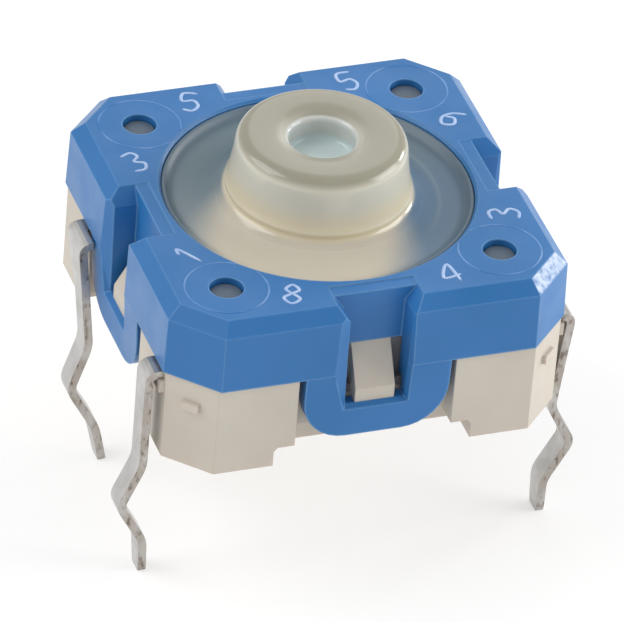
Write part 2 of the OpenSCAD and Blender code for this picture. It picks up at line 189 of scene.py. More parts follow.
def ridge_along(stroke: Grid, height: float, width: float, level: float) -> Grid:
    """Thin oval rod along a flat stroke, half sunk in the face it lies on.

    At each point of the stroke the cross-section is an ellipse,
    side = width/2 cos a and rise = height sin a, set square to the stroke.
    Its size grows as min(1, sqrt(k/2)) from each end, where k counts points.

    Args:
        stroke: Points of the stroke, shape (n, 2), mm.
        height: Rise above the face, mm.
        width: Width of the ridge, mm.
        level: Height of the face, mm.

    Returns:
        Rings of points, shape (n, ROD_SIDES, 3), mm.
    """
    tangent = np.gradient(stroke, axis=0)
    tangent /= np.linalg.norm(tangent, axis=1, keepdims=True) + 1e-12
    across = np.stack([tangent[:, 1], -tangent[:, 0]], axis=1)
    order = np.arange(len(stroke))
    taper = np.minimum(1.0, np.sqrt(np.minimum(order, order[::-1]) / 2.0))[:, None]
    a = np.linspace(0.0, 2 * np.pi, ROD_SIDES, endpoint=False)
    side = np.cos(a)[None, :] * width / 2 * taper
    rise = np.sin(a)[None, :] * height * taper
    flat = stroke[:, None, :] + side[..., None] * across[:, None, :]
    return np.concatenate([flat, (level + rise)[..., None]], axis=-1)


# --------------------------------------------------------------------------
# Material nodes
# --------------------------------------------------------------------------

BEVEL_SAMPLES = 6  # Rays of each Bevel node.
EDGE_TURN = (0.99, 0.86)  # Cosines between which an edge's painted highlight comes in.
COLOUR_A, COLOUR_B, COLOUR_RESULT = 6, 7, 2  # Colour sockets of a Mix node.


class Nodes:
    """One material with helpers for its node tree.

    Attributes:
        material: The material.
        tree: Its node tree.
        shader: Its surface shader.
    """

    def __init__(self, name: str) -> None:
        """Starts a material with its plain shader.

        Args:
            name: Name of the material.
        """
        self.material = bpy.data.materials.new(name)
        self.material.use_nodes = True
        self.tree = self.material.node_tree
        self.shader = self.tree.nodes["Principled BSDF"]

    def add(self, kind: str, **values: object) -> bpy.types.Node:
        """Adds a node.

        Args:
            kind: Blender's name of the node type.
            **values: Properties to set on it.

        Returns:
            The new node.
        """
        node = self.tree.nodes.new(kind)
        for key, value in values.items():
            setattr(node, key, value)
        return node

    def link(self, source: Socket, target: Socket) -> None:
        """Joins an output socket to an input socket."""
        self.tree.links.new(source, target)

    def feed(self, target: Socket, value: Union[Number, Paint]) -> None:
        """Links a socket to an input, or sets the input to a value.

        Args:
            target: The input.
            value: The socket, number or colour.
        """
        if isinstance(value, bpy.types.NodeSocket):
            self.link(value, target)
        else:
            target.default_value = value

    def coordinates(self, output: str = "Object") -> Socket:
        """Gives the object coordinates, or the normal in the object's axes."""
        return self.add("ShaderNodeTexCoord").outputs[output]

    def axes(self, vector: Socket) -> tuple[Socket, Socket, Socket]:
        """Splits a vector.

        Args:
            vector: The vector.

        Returns:
            Its parts along X, Y and Z.
        """
        split = self.add("ShaderNodeSeparateXYZ")
        self.link(vector, split.inputs["Vector"])
        return split.outputs["X"], split.outputs["Y"], split.outputs["Z"]

    def noise(self, scale: float, detail: float, stretch: Triple = (1, 1, 1)) -> Socket:
        """Noise on object coordinates.

        Args:
            scale: Cycles per metre.
            detail: Octaves of finer noise.
            stretch: Factors on the coordinates; a small one draws that axis out.

        Returns:
            The noise, 0 to 1.
        """
        mapping = self.add("ShaderNodeMapping")
        mapping.inputs["Scale"].default_value = stretch
        self.link(self.coordinates(), mapping.inputs["Vector"])
        noise = self.add("ShaderNodeTexNoise")
        noise.inputs["Scale"].default_value = scale
        noise.inputs["Detail"].default_value = detail
        self.link(mapping.outputs["Vector"], noise.inputs["Vector"])
        return noise.outputs["Fac"]

    def remap(self, value: Socket, source: Span, target: Span = (0.0, 1.0)) -> Socket:
        """Maps one range of values to another in a straight line, clamped.

        Args:
            value: The value to map.
            source: Its two ends.
            target: What they become.

        Returns:
            The mapped value.
        """
        node = self.add("ShaderNodeMapRange")
        names = ("From Min", "From Max", "To Min", "To Max")
        for name, number in zip(names, source + target):
            node.inputs[name].default_value = number
        self.link(value, node.inputs["Value"])
        return node.outputs["Result"]

    def between(self, length: Socket, source: Span, target: Span = (0.0, 1.0)) -> Socket:
        """Maps a coordinate as remap() does, with its two ends in millimetres."""
        return self.remap(length, (source[0] * MM, source[1] * MM), target)

    def maths(self, operation: str, a: Number, b: Number = 0.0) -> Socket:
        """One maths node.

        Args:
            operation: Blender's name of the operation.
            a: First number or socket.
            b: Second number or socket, where the operation has one.

        Returns:
            The result.
        """
        node = self.add("ShaderNodeMath", operation=operation)
        self.feed(node.inputs[0], a)
        self.feed(node.inputs[1], b)
        return node.outputs["Value"]

    def size(self, value: Socket) -> Socket:
        """Gives a value without its sign."""
        return self.maths("ABSOLUTE", value)

    def product(self, first: Socket, *others: Number) -> Socket:
        """Multiplies two or more values, from left to right.

        Args:
            first: The first value.
            *others: The others.

        Returns:
            Their product.
        """
        result = first
        for other in others:
            result = self.maths("MULTIPLY", result, other)
        return result

    def mix(self, factor: Socket, a: Paint, b: Paint) -> Socket:
        """Mixes two colours.

        Args:
            factor: Share of the second colour.
            a: First colour or colour socket.
            b: Second colour or colour socket.

        Returns:
            The mixed colour.
        """
        node = self.add("ShaderNodeMix", data_type="RGBA")
        self.link(factor, node.inputs["Factor"])
        for index, value in ((COLOUR_A, a), (COLOUR_B, b)):
            plain = not isinstance(value, bpy.types.NodeSocket)
            self.feed(node.inputs[index], (*value, 1.0) if plain else value)
        return node.outputs[COLOUR_RESULT]

    def tint(self, share: Socket, colour: Paint) -> None:
        """Mixes a colour, or a colour socket, over the present base colour."""
        base = self.shader.inputs["Base Color"]
        self.link(self.mix(share, base.links[0].from_socket, colour), base)

    def roughen(self, least: Socket) -> None:
        """Raises the present roughness wherever it is below the given one."""
        rough = self.shader.inputs["Roughness"]
        self.link(self.maths("MAXIMUM", rough.links[0].from_socket, least), rough)

    def rounded(self, radius: float) -> Socket:
        """Gives the normal of a surface whose edges are rounded.

        Args:
            radius: Radius of the rounding, metres.

        Returns:
            The normal.
        """
        node = self.add("ShaderNodeBevel", samples=BEVEL_SAMPLES)
        node.inputs["Radius"].default_value = radius
        return node.outputs["Normal"]

    def edges(self, radius: float, share: float) -> Socket:
        """Finds the edges, where the rounded normal leaves the true one.

        Args:
            radius: Reach of an edge, metres.
            share: Value on the edge itself.

        Returns:
            0 on a flat face, rising to the share along its edges.
        """
        dot = self.add("ShaderNodeVectorMath", operation="DOT_PRODUCT")
        self.link(self.rounded(radius), dot.inputs[0])
        self.link(self.add("ShaderNodeNewGeometry").outputs["Normal"], dot.inputs[1])
        return self.remap(dot.outputs["Value"], EDGE_TURN, (0.0, share))

    def bump(self, height: Socket, distance: float, radius: float) -> None:
        """Feeds the shader's normal: soft edges first, then the grain.

        Args:
            height: Height of the grain, 0 to 1.
            distance: Full height of the grain, metres.
            radius: Radius of the soft edges, metres.
        """
        bump = self.add("ShaderNodeBump")
        bump.inputs["Distance"].default_value = distance
        self.link(height, bump.inputs["Height"])
        self.link(self.rounded(radius), bump.inputs["Normal"])
        self.link(bump.outputs["Normal"], self.shader.inputs["Normal"])


# --------------------------------------------------------------------------
# Finishes
# --------------------------------------------------------------------------

DRIFT_DETAIL, GLOSS_DETAIL, GRAIN_DETAIL = 4.0, 2.0, 5.0
DRIFT_BAND, GLOSS_BAND = (0.35, 0.65), (0.3, 0.7)  # The noise's useful middle.
GLOSS_FINER = 3  # The roughness varies at this many times the drift's scale.
EDGE_HIGHLIGHT_REACH = 1.6  # Reach of an edge's painted highlight, in radii of the soft edge.


@dataclass(frozen=True)
class Finish:
    """One procedural finish.

    Attributes:
        name: Material name.
        colour: Main colour, linear RGB.
        second: Colour it drifts towards.
        drift_scale: Scale of the drift noise, in cycles per metre.
        roughness: Lowest and highest roughness.
        bump: Height of the fine surface grain, in metres.
        grain_scale: Scale of that grain, in cycles per metre.
        edge_radius: Radius of the softened edges, in metres.
        metallic: Metal share.
        subsurface: Weight of the scattering under the surface.
        subsurface_radius: Depth of that scattering, in metres.
        specular: Level of the surface reflection.
        edge_highlight_colour: Colour of the painted highlight along sharp edges, where their
            rounding catches the light.
        edge_highlight_share: How much of it shows there.
    """

    name: str
    colour: Colour
    second: Colour
    drift_scale: float = 300.0
    roughness: Span = (0.35, 0.45)
    bump: float = 2e-6
    grain_scale: float = 6000.0
    edge_radius: float = 5e-5
    metallic: float = 0.0
    subsurface: float = 0.0
    subsurface_radius: float = 4e-4
    specular: float = 0.5
    edge_highlight_colour: Colour = (0.6, 0.6, 0.6)
    edge_highlight_share: float = 0.0

    def material(self) -> bpy.types.Material:
        """Builds the part that all finishes share, then this one's own detail.

        Returns:
            The material.
        """
        n = Nodes(self.name)
        drift = n.remap(n.noise(self.drift_scale, DRIFT_DETAIL), DRIFT_BAND)
        n.link(n.mix(drift, self.colour, self.second), n.shader.inputs["Base Color"])
        gloss = n.noise(self.drift_scale * GLOSS_FINER, GLOSS_DETAIL)
        n.link(n.remap(gloss, GLOSS_BAND, self.roughness), n.shader.inputs["Roughness"])
        n.shader.inputs["Metallic"].default_value = self.metallic
        n.shader.inputs["Subsurface Weight"].default_value = self.subsurface
        n.shader.inputs["Subsurface Scale"].default_value = self.subsurface_radius
        n.shader.inputs["Specular IOR Level"].default_value = self.specular
        # A lighter colour along the edges: a painted highlight where the rounded edges catch
        # the light.
        if self.edge_highlight_share:
            edges = n.edges(self.edge_radius * EDGE_HIGHLIGHT_REACH, self.edge_highlight_share)
            n.tint(edges, self.edge_highlight_colour)
        n.bump(n.noise(self.grain_scale, GRAIN_DETAIL), self.bump, self.edge_radius)
        self.detail(n)
        return n.material

    def detail(self, n: Nodes) -> None:
        """Adds nothing: a plain finish is the same all over."""


@dataclass(frozen=True)
class ScarredMoulding(Finish):
    """Moulding with the frosted scar of its gate on one corner bevel.

    The scar lies where x - y and z are in their ranges, on the face whose
    normal leans along both x and y. A speckled noise whitens and roughens it.

    Attributes:
        scar_reach: x - y over which the scar comes in, mm.
        scar_foot: Height over which it comes in, mm.
        scar_head: Height over which it goes out again, mm.
        scar_lean: Smaller of the normal's |x| and |y| over which it comes in.
        scar_colour: Colour of the scar.
        scar_roughness: Its highest roughness.
        speckle: Scale and detail of its noise.
        speckle_band: Values of that noise that are told apart.
        speckle_share: Least and full share of the scar.
    """

    scar_reach: Span = (10.16, 10.26)
    scar_foot: Span = (4.80, 4.86)
    scar_head: Span = (5.17, 5.195)
    scar_lean: Span = (0.2, 0.3)
    scar_colour: Colour = (0.62, 0.72, 0.90)
    scar_roughness: float = 0.8
    speckle: Pair = (5200.0, 7.0)
    speckle_band: Span = (0.38, 0.62)
    speckle_share: Span = (0.2, 1.0)

    def detail(self, n: Nodes) -> None:
        """Adds the scar.

        Args:
            n: Nodes of the material.
        """
        x, y, z = n.axes(n.coordinates())
        leaning_x, leaning_y, _ = n.axes(n.coordinates("Normal"))
        lean = n.maths("MINIMUM", n.size(leaning_x), n.size(leaning_y))
        scar = n.product(
            n.between(n.maths("SUBTRACT", x, y), self.scar_reach),
            n.between(z, self.scar_foot),
            n.between(z, self.scar_head, (1.0, 0.0)),
            n.remap(lean, self.scar_lean),
            n.remap(n.noise(*self.speckle), self.speckle_band, self.speckle_share),
        )
        n.tint(scar, self.scar_colour)
        n.roughen(n.product(scar, self.scar_roughness))


@dataclass(frozen=True)
class ShadedMoulding(Finish):
    """Moulding with two kinds of place in shade.

    The post tops sit in bluish shade. So do the recesses beside each wedge,
    told by the smaller and the larger of |x| and |y| and by the height.

    Attributes:
        post_height: Height over which the posts' shade comes in, mm.
        post_colour: Colour of that shade.
        recess_inner: Smaller of |x| and |y| where a recess begins, mm.
        recess_outer: Smaller of |x| and |y| where it ends, mm.
        recess_foot: Height where it begins, mm.
        recess_head: Height where it ends, mm.
        recess_depth: Larger of |x| and |y| where it begins, mm.
        recess_share: Share of the recesses' shade.
        recess_colour: Colour of that shade.
    """

    post_height: Span = (4.55, 4.65)
    post_colour: Colour = (0.105, 0.14, 0.185)
    recess_inner: Span = (0.602, 0.62)
    recess_outer: Span = (1.55, 1.7)
    recess_foot: Span = (1.76, 1.9)
    recess_head: Span = (3.5, 3.7)
    recess_depth: Span = (4.9, 5.0)
    recess_share: float = 0.85
    recess_colour: Colour = (0.05, 0.06, 0.08)

    def detail(self, n: Nodes) -> None:
        """Adds the shade of the post tops and of the recesses.

        Args:
            n: Nodes of the material.
        """
        x, y, z = n.axes(n.coordinates())
        n.tint(n.between(z, self.post_height), self.post_colour)
        beside = n.maths("MINIMUM", n.size(x), n.size(y))
        far = n.maths("MAXIMUM", n.size(x), n.size(y))
        shade = n.product(
            n.between(beside, self.recess_inner),
            n.between(beside, self.recess_outer, (1.0, 0.0)),
            n.between(z, self.recess_foot),
            n.between(z, self.recess_head, (1.0, 0.0)),
            n.between(far, self.recess_depth, (0.0, self.recess_share)),
        )
        n.tint(shade, self.recess_colour)


@dataclass(frozen=True)
class ShearedStrip(Finish):
    """Plated strip with duller, browner sheared edges and burrs along them.

    The sheared edges are the faces that look along Y. The burrs are a noise
    drawn out along Z.

    Attributes:
        cut_lean: The normal's |y| over which the edges' colour comes in.
        cut_colour: Colour of the sheared edges.
        smear: Scale and detail of the noise that thins that colour.
        smear_stretch: Factors on that noise's coordinates.
        smear_band: Values of that noise that are told apart.
        smear_share: Full and least share of the colour.
        burr_colour: Colour of the burrs.
        burr: Scale and detail of their noise.
        burr_stretch: Factors on that noise's coordinates.
        burr_band: Values of that noise over which a burr comes in.
        burr_share: Least and full share of a burr.
    """

    cut_lean: Span = (0.55, 0.85)
    cut_colour: Colour = (0.41, 0.37, 0.33)
    smear: Pair = (2200.0, 4.0)
    smear_stretch: Triple = (1.0, 1.0, 0.4)
    smear_band: Span = (0.42, 0.60)
    smear_share: Span = (1.0, 0.35)
    burr_colour: Colour = (0.10, 0.075, 0.05)
    burr: Pair = (7500.0, 8.0)
    burr_stretch: Triple = (1.0, 1.0, 0.45)
    burr_band: Span = (0.53, 0.63)
    burr_share: Span = (0.0, 0.7)

    def detail(self, n: Nodes) -> None:
        """Adds the sheared edges and their burrs.

        Args:
            n: Nodes of the material.
        """
        _, leaning, _ = n.axes(n.coordinates("Normal"))
        thin = n.noise(*self.smear, self.smear_stretch)
        thin = n.remap(thin, self.smear_band, self.smear_share)
        cut = n.product(n.remap(n.size(leaning), self.cut_lean), thin)
        n.tint(cut, self.cut_colour)
        dark = n.noise(*self.burr, self.burr_stretch)
        dark = n.remap(dark, self.burr_band, self.burr_share)
        n.tint(n.product(cut, dark), self.burr_colour)


@dataclass(frozen=True)
class PaintedSilicone(Finish):
    """Silicone whose colour, painted light and shade included, and dullness are painted on the
    mesh.

    Attributes:
        layer: Name of the colour attribute; its alpha is the dull share.
        scatter: Depth of the scattering for red, green and blue.
        mottle: Scale and detail of the noise on the painted colour.
        mottle_share: Lowest and highest share of that colour.
        dull: Roughness where the surface is fully dull.
    """

    layer: str = "tint"
    scatter: Triple = (1.0, 0.85, 0.6)
    mottle: Pair = (500.0, 3.0)
    mottle_share: Span = (0.95, 1.0)
    dull: float = 0.42

    def detail(self, n: Nodes) -> None:
        """Reads the painted colour and dullness.

        Args:
            n: Nodes of the material.
        """
        n.shader.inputs["Subsurface Radius"].default_value = self.scatter
        painted = n.add("ShaderNodeAttribute", attribute_name=self.layer)
        share = n.remap(n.noise(*self.mottle), (0.0, 1.0), self.mottle_share)
        n.tint(share, painted.outputs["Color"])
        n.roughen(n.product(painted.outputs["Alpha"], self.dull))


# The blue's lighter edge colour is a painted highlight.
BLUE = ScarredMoulding(
    "blue_moulding", (0.022, 0.152, 0.40), (0.030, 0.168, 0.44), roughness=(0.28, 0.40),
    specular=0.36, edge_radius=6e-5, edge_highlight_colour=(0.17, 0.38, 0.68), edge_highlight_share=0.75,
)
CREAM = ShadedMoulding(
    "cream_moulding", (0.54, 0.49, 0.42), (0.60, 0.55, 0.475), roughness=(0.45, 0.6),
    bump=3e-6, subsurface=0.15, subsurface_radius=3e-4,
)
TIN = ShearedStrip(
    "tinned_strip", (0.50, 0.49, 0.475), (0.59, 0.58, 0.565), drift_scale=900.0,
    roughness=(0.28, 0.5), bump=4e-6, grain_scale=3000.0, metallic=1.0, edge_radius=3e-5,
)
SILICONE = PaintedSilicone(
    "silicone", (0.40, 0.39, 0.33), (0.42, 0.41, 0.35), roughness=(0.13, 0.19), bump=1.0e-6,
    subsurface=0.35, subsurface_radius=8e-4, edge_radius=2e-5, specular=0.7,
)
STEEL = Finish(
    "spring_steel", (0.55, 0.55, 0.54), (0.62, 0.62, 0.60), roughness=(0.2, 0.3), metallic=1.0,
)
WHITE = Finish(
    "pusher_plastic", (0.72, 0.71, 0.68), (0.76, 0.75, 0.72), roughness=(0.4, 0.5),
)
SCRIBE = Finish(
    "scribed_line", (0.34, 0.50, 0.82), (0.46, 0.60, 0.86), drift_scale=2500.0,
    roughness=(0.5, 0.6),
)
FAINT_SCRIBE = Finish(
    "faint_line", (0.03, 0.20, 0.54), (0.20, 0.38, 0.72), drift_scale=1200.0,
    roughness=(0.5, 0.6),
)


# --------------------------------------------------------------------------
# Painting of the cap, painted light and shade included
# --------------------------------------------------------------------------


@dataclass(frozen=True)
class Ease:
    """A share that eases from 0 at one value to 1 at another.

    Attributes:
        start: Value where the share is 0.
        end: Value where it is 1.
    """

    start: float
    end: float

    def at(self, value: Grid) -> Grid:
        """3t^2 - 2t^3 of the clamped ratio t = (value - start) / (end - start)."""
        t = np.clip((value - self.start) / (self.end - self.start), 0.0, 1.0)
        return t * t * (3.0 - 2.0 * t)


@dataclass(frozen=True)
class Bell:
    """A share that peaks at one value.

    Attributes:
        centre: Value where the share is 1.
        width: Distance from there at which it has fallen to 1/e.
    """

    centre: float
    width: float

    def at(self, value: Grid) -> Grid:
        """exp(-((value - centre) / width)^2)."""
        return np.exp(-(((value - self.centre) / self.width) ** 2))


def over(base: Grid, share: Grid, colour: Grid | Colour) -> Grid:
    """Mixes a colour over others: base + share * (colour - base).

    Args:
        base: Colours underneath, shape (n, 3).
        share: Share of the upper colour at each point, shape (n,).
        colour: One upper colour, or one for each point.

    Returns:
        The mixed colours, shape (n, 3).
    """
    return base + share[:, None] * (np.array(colour) - base)


@dataclass(frozen=True)
class CapColours:
    """Colours of the translucent moulding, painted light and shade included, linear RGB.

    Attributes:
        top: Top of the thick button, a greyish cream, painted darker than its side to stand in
            for how light falls.
        side: Its side, painted lighter than the top: painted light.
        foot: The warmer, lighter lower part of the side: painted light in the translucent
            silicone.
        glow: Light gathered round the mouth of the hole.
        hole: Wall of the hole, cooler than the button.
        floor: Floor of the hole, cooler still.
        lip: Lit edge of the mouth.
        fold: Lit line along the fold under the button.
        warm: Membrane on the front left, painted light from the button.
        left: Painted shade of the dark cavity under the membrane, on the left.
        right: The same on the right.
        back: The same at the back.
        brim: Painted shade of the membrane along the brim, beside the cover's wall.
        ring: Painted highlight on a faint moulded ring of the membrane.
    """

    top: Colour = (0.315, 0.302, 0.232)
    side: Colour = (0.66, 0.635, 0.53)
    foot: Colour = (0.73, 0.65, 0.465)
    glow: Colour = (0.62, 0.61, 0.54)
    hole: Colour = (0.54, 0.56, 0.54)
    floor: Colour = (0.60, 0.71, 0.71)
    lip: Colour = (0.72, 0.74, 0.72)
    fold: Colour = (0.86, 0.83, 0.74)
    warm: Colour = (0.58, 0.53, 0.43)
    left: Colour = (0.16, 0.215, 0.25)
    right: Colour = (0.075, 0.16, 0.26)
    back: Colour = (0.085, 0.145, 0.18)
    brim: Colour = (0.075, 0.13, 0.185)
    ring: Colour = (0.42, 0.50, 0.52)


@dataclass(frozen=True)
class CapPlaces:
    """Where the colours of the moulding come in.

    Radii and heights are mm. A bearing is measured anticlockwise from +X, in
    degrees from -180 to 180.

    Attributes:
        side_radius: Radius where the top passes into the side.
        side_height: Height where the side's colour comes in, downwards.
        foot_height: Height where the foot's colour comes in, downwards.
        top_height: Height where the top begins.
        glow_radius: Radius of the gathered light.
        glow_bearing: Bearing along which it is brightest, both ways.
        hole_radius: Radius where the hole begins, inwards.
        hole_height: Height where the hole begins, upwards.
        floor_height: Height where its floor begins, downwards.
        lip_radius: Radius of the mouth's lit edge.
        lip_bearing: Bearing where that edge comes in.
        fold_height: Height of the fold.
        fold_radius: Radius where the fold's line begins.
        fold_bearing: Bearing where that line reaches its full brightness.
        sheet_radius: Radius where the membrane begins.
        sheet_height: Height below which it lies.
        warm_bearing: Bearing of the middle of the warm part.
        warm_radius: Radius at which its spread is given.
        warm_spread: Spread to each side of that bearing, in degrees.
        warm_narrowing: Loss of spread for each mm outwards, in degrees.
        warm_edge: Degrees past the spread over which the shade comes in.
        right_x: x over which the right side's shade comes in.
        back_y: y over which the back's shade comes in.
        brim_radius: Radius where the brim's painted shade comes in.
        ring_radius: Radius of the faint ring's painted highlight.
        ring_start: Bearing where the ring comes in.
        ring_end: Bearing where it goes out again.
        dull_radius: Radius where the surface turns dull.
    """

    side_radius: Ease = Ease(2.1, 2.3)
    side_height: Ease = Ease(7.0, 6.75)
    foot_height: Ease = Ease(6.3, 5.5)
    top_height: Ease = Ease(6.8, 6.88)
    glow_radius: Bell = Bell(1.14, 0.16)
    glow_bearing: float = 165.0
    hole_radius: Ease = Ease(1.10, 1.0)
    hole_height: Ease = Ease(5.9, 6.1)
    floor_height: Ease = Ease(6.45, 6.3)
    lip_radius: Bell = Bell(1.05, 0.035)
    lip_bearing: Ease = Ease(-40.0, 30.0)
    fold_height: Bell = Bell(5.43, 0.035)
    fold_radius: Ease = Ease(2.68, 2.72)
    fold_bearing: Ease = Ease(-75.0, -30.0)
    sheet_radius: Ease = Ease(2.72, 2.85)
    sheet_height: Ease = Ease(5.4, 5.25)
    warm_bearing: float = -118.0
    warm_radius: float = 3.2
    warm_spread: float = 57.0
    warm_narrowing: float = 17.0
    warm_edge: Ease = Ease(-14.0, 22.0)
    right_x: Ease = Ease(-2.0, 2.0)
    back_y: Ease = Ease(-0.5, 2.5)
    brim_radius: Ease = Ease(3.95, 4.5)
    ring_radius: Bell = Bell(3.56, 0.07)
    ring_start: Ease = Ease(-60.0, -10.0)
    ring_end: Ease = Ease(60.0, 20.0)
    dull_radius: Ease = Ease(2.75, 3.15)


LIT_SHARE = 0.6  # Share of the gathered light, of the lip and of the fold's line.
FOLD_LEAST = 0.45  # Brightness of the fold's line on its dim side.
BRIM_SHADE_LEAST = 0.15  # Share of the brim's painted shade beside the warm part.
RING_HIGHLIGHT_SHARE = 0.16  # Share of the faint ring's painted highlight.


class CapPainter:
    """Works out the colour of the translucent moulding at each point, painted light and shade
    included.

    Attributes:
        colours: The colours to paint with.
        at: The places where they come in.
        x, y, z: Places of the points, mm.
        radius: Their distances from the axis, mm.
        bearing: Their bearings round it.
        tint: Their colours so far.
    """

    def __init__(self, points: Grid, colours: CapColours, places: CapPlaces) -> None:
        """Starts with every point in the colour of the button's top.

        Args:
            points: Points, shape (n, 3), mm.
            colours: The colours to paint with.
            places: The places where they come in.
        """
        self.colours = colours
        self.at = places
        self.x, self.y, self.z = points.T
        self.radius = np.hypot(self.x, self.y)
        self.bearing = np.degrees(np.arctan2(self.y, self.x))
        self.tint = self.all_over(colours.top)

    def all_over(self, colour: Colour) -> Grid:
        """Gives one colour for every point."""
        return np.tile(np.array(colour), (len(self.x), 1))

    def lay(self, share: Grid, colour: Grid | Colour) -> None:
        """Mixes a colour over the present ones."""
        self.tint = over(self.tint, share, colour)

    def button(self) -> None:
        """Paints the side by height, lighter than the top and warmer towards its foot: painted
        light in the translucent silicone.
        """
        side = self.at.side_radius.at(self.radius)
        self.lay(side * self.at.side_height.at(self.z), self.colours.side)
        self.lay(side * self.at.foot_height.at(self.z), self.colours.foot)

    def mouth(self) -> None:
        """Paints the hole, and round its mouth the gathered light and the lip.

        The gathered light follows the squared cosine of the angle from its
        bearing.
        """
        top = self.at.top_height.at(self.z)
        facing = np.cos(np.radians(self.bearing - self.at.glow_bearing)) ** 2
        glow = self.at.glow_radius.at(self.radius) * top * facing
        self.lay(LIT_SHARE * glow, self.colours.glow)
        hole = self.at.hole_radius.at(self.radius) * self.at.hole_height.at(self.z)
        self.lay(hole, self.colours.hole)
        self.lay(hole * self.at.floor_height.at(self.z), self.colours.floor)
        lip = self.at.lip_radius.at(self.radius) * top * self.at.lip_bearing.at(self.bearing)
        self.lay(LIT_SHARE * lip, self.colours.lip)

    def fold(self) -> None:
        """Paints the lit line along the fold, brightest on the right."""
        line = self.at.fold_height.at(self.z) * self.at.fold_radius.at(self.radius)
        bright = self.at.fold_bearing.at(self.bearing)
        line = line * (FOLD_LEAST + (1.0 - FOLD_LEAST) * bright)
        self.lay(LIT_SHARE * line, self.colours.fold)

    def membrane(self) -> None:
        """Paints the membrane: painted light on its warm front part, painted shade of the
        cavity beyond it and along its brim, and a painted highlight on its faint ring.

        The warm part spreads to each side of its bearing by
        spread - narrowing * (radius - the radius of the spread). Past it the
        cavity's shade takes over, by the side of the switch.
        """
        sheet = self.at.sheet_radius.at(self.radius) * self.at.sheet_height.at(self.z)
        away = np.abs((self.bearing - self.at.warm_bearing + 180.0) % 360.0 - 180.0)
        narrower = self.at.warm_narrowing * (self.radius - self.at.warm_radius)
        cool = self.at.warm_edge.at(away - (self.at.warm_spread - narrower))
        # Painted shade of the dark cavity under the membrane, by side, laid beyond the painted
        # light of the warm front part.
        shade = self.all_over(self.colours.left)
        shade = over(shade, self.at.right_x.at(self.x), self.colours.right)
        shade = over(shade, self.at.back_y.at(self.y), self.colours.back)
        self.lay(sheet, over(self.all_over(self.colours.warm), cool, shade))
        # Painted shade of the membrane along the brim.
        brim = self.at.brim_radius.at(self.radius) * sheet
        self.lay(brim * (BRIM_SHADE_LEAST + (1.0 - BRIM_SHADE_LEAST) * cool), self.colours.brim)
        # Painted highlight on the faint ring, on its right side only.
        ring = self.at.ring_radius.at(self.radius) * sheet
        ring = ring * self.at.ring_start.at(self.bearing) * self.at.ring_end.at(self.bearing)
        self.lay(RING_HIGHLIGHT_SHARE * ring, self.colours.ring)

    def paint(self) -> Grid:
        """Paints the whole moulding.

        Returns:
            Linear RGB and the dull share of the membrane, shape (n, 4).
        """
        self.button()
        self.mouth()
        self.fold()
        self.membrane()
        dull = self.at.dull_radius.at(self.radius)
        return np.hstack([self.tint, dull[:, None]])


# --------------------------------------------------------------------------
# Sub-assemblies
# --------------------------------------------------------------------------


@dataclass
class Housing:
    """Cover, base, pusher and contacts, which keep the frame's own solids.

    Attributes:
        finishes: Finish of each node.
    """

    finishes: dict[str, Finish] = field(default_factory=lambda: {
        "centre_contact": TIN,
        "rim_contact": TIN,
        "cover": BLUE,
        "base": CREAM,
        "pusher": WHITE,
    })

    def build(self) -> None:
        """Makes each finish once and gives it to its nodes."""
        made = {finish: finish.material() for finish in dict.fromkeys(self.finishes.values())}
        for name, finish in self.finishes.items():
            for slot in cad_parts[name].material_slots:
                slot.material = made[finish]
            LOG.info("%s: dressed in %s", name, finish.name)


STROKES: dict[str, Profile] = {
    "1": ((-0.12, 0.18), (0.03, 0.35), (0.03, -0.35)),
    "3": ((-0.2, 0.3), (0.08, 0.34), (0.17, 0.16), (0.0, 0.02), (0.18, -0.14), (0.06, -0.34),
          (-0.2, -0.3)),
    "4": ((0.1, -0.35), (0.1, 0.35), (-0.2, -0.08), (0.24, -0.08)),
    "5": ((0.2, 0.33), (-0.14, 0.33), (-0.17, 0.03), (0.08, 0.06), (0.18, -0.14), (0.04, -0.34),
          (-0.19, -0.28)),
    "6": ((0.14, 0.34), (-0.12, 0.12), (-0.18, -0.16), (0.0, -0.34), (0.18, -0.17),
          (0.04, 0.02), (-0.15, -0.08)),
    "8": ((0.0, 0.02), (-0.15, 0.17), (0.0, 0.34), (0.15, 0.17), (0.0, 0.02), (-0.18, -0.16),
          (0.0, -0.35), (0.18, -0.16), (0.0, 0.02)),
}


@dataclass(frozen=True)
class Numeral:
    """One plain numeral scribed on the cover.

    Attributes:
        digit: Which numeral.
        place: Its middle, mm.
        turn: Its turn anticlockwise, degrees.
    """

    digit: str
    place: Pair
    turn: float

    def stroke(self, scale: float, per_span: int = 6) -> Grid:
        """Smooths the numeral's stroke, then scales, turns and places it.

        Args:
            scale: Size of the numeral against its stroke.
            per_span: Points on each span of the stroke.

        Returns:
            Points of the stroke, shape (n, 2), mm.
        """
        curve = smooth_profile(STROKES[self.digit], per_span)
        a = math.radians(self.turn)
        rotation = np.array([[math.cos(a), -math.sin(a)], [math.sin(a), math.cos(a)]])
        return scale * curve @ rotation.T + np.array(self.place)


